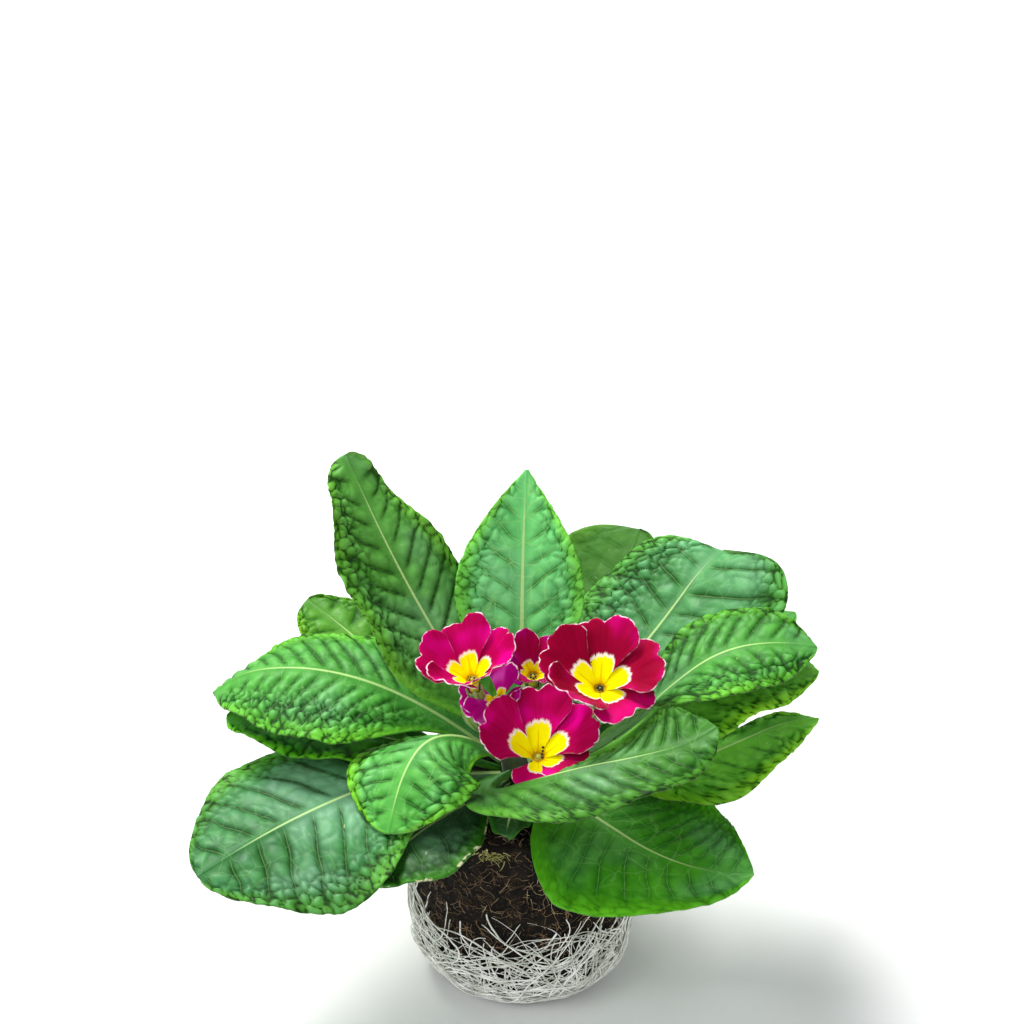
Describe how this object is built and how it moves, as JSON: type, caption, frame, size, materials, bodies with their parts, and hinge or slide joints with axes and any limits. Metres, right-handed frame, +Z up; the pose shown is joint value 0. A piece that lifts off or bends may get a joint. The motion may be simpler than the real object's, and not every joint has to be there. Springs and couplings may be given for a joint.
{
  "type": "flowering primrose plant with bare root ball",
  "caption": "Primrose in flower: a rosette of puckered leaves round notched blooms with star-shaped eyes, standing on a bare ball of peat wrapped in white roots.",
  "frame": {"origin": "middle of the flat foot of the root ball", "axes": "+Z up through the crown, +X to the plant's right, +Y to the back where its tallest leaves stand"},
  "size_m": [0.2508, 0.1957, 0.205],
  "materials": {
    "peat": "matt, fibrous, dark brown peat",
    "roots": "matt, off-white fine roots",
    "crown": "matt green-brown stem",
    "leaves": "satin green, pale ribs, puckered",
    "stalks": "matt light green, softly hairy",
    "crimson_petals": "velvety crimson, yellow star eye, thin white margin",
    "violet_petals": "velvety violet, yellow star eye, thin white margin"
  },
  "bodies": {
    "root": {"root_ball": "peat", "root_mat": "roots", "crown": "crown", "leaf_back_left_tall": "leaves", "leaf_back_centre": "leaves", "leaf_back_right_inner": "leaves", "leaf_back_right": "leaves", "leaf_right": "leaves", "leaf_right_under": "leaves", "leaf_front_right_bent": "leaves", "leaf_front_right_low": "leaves", "leaf_front_left_small": "leaves", "leaf_left": "leaves", "leaf_front_left_low": "leaves", "leaf_front_left_under": "leaves", "leaf_right_low": "leaves", "leaf_front_low": "leaves", "leaf_left_under": "leaves", "leaf_back_left_low": "leaves", "leaf_back_low_left": "leaves", "leaf_back_low_right": "leaves", "leaf_back_right_low": "leaves", "bloom_front": "crimson_petals", "stalk_front": "stalks", "bloom_right": "crimson_petals", "stalk_right": "stalks", "bloom_left": "crimson_petals", "stalk_left": "stalks", "bloom_centre": "crimson_petals", "stalk_centre": "stalks", "bloom_small_left": "violet_petals", "stalk_small_left": "stalks", "bloom_small_right": "violet_petals", "stalk_small_right": "stalks", "bud_left": "stalks", "bud_back": "stalks"}
  },
  "joints": []
}
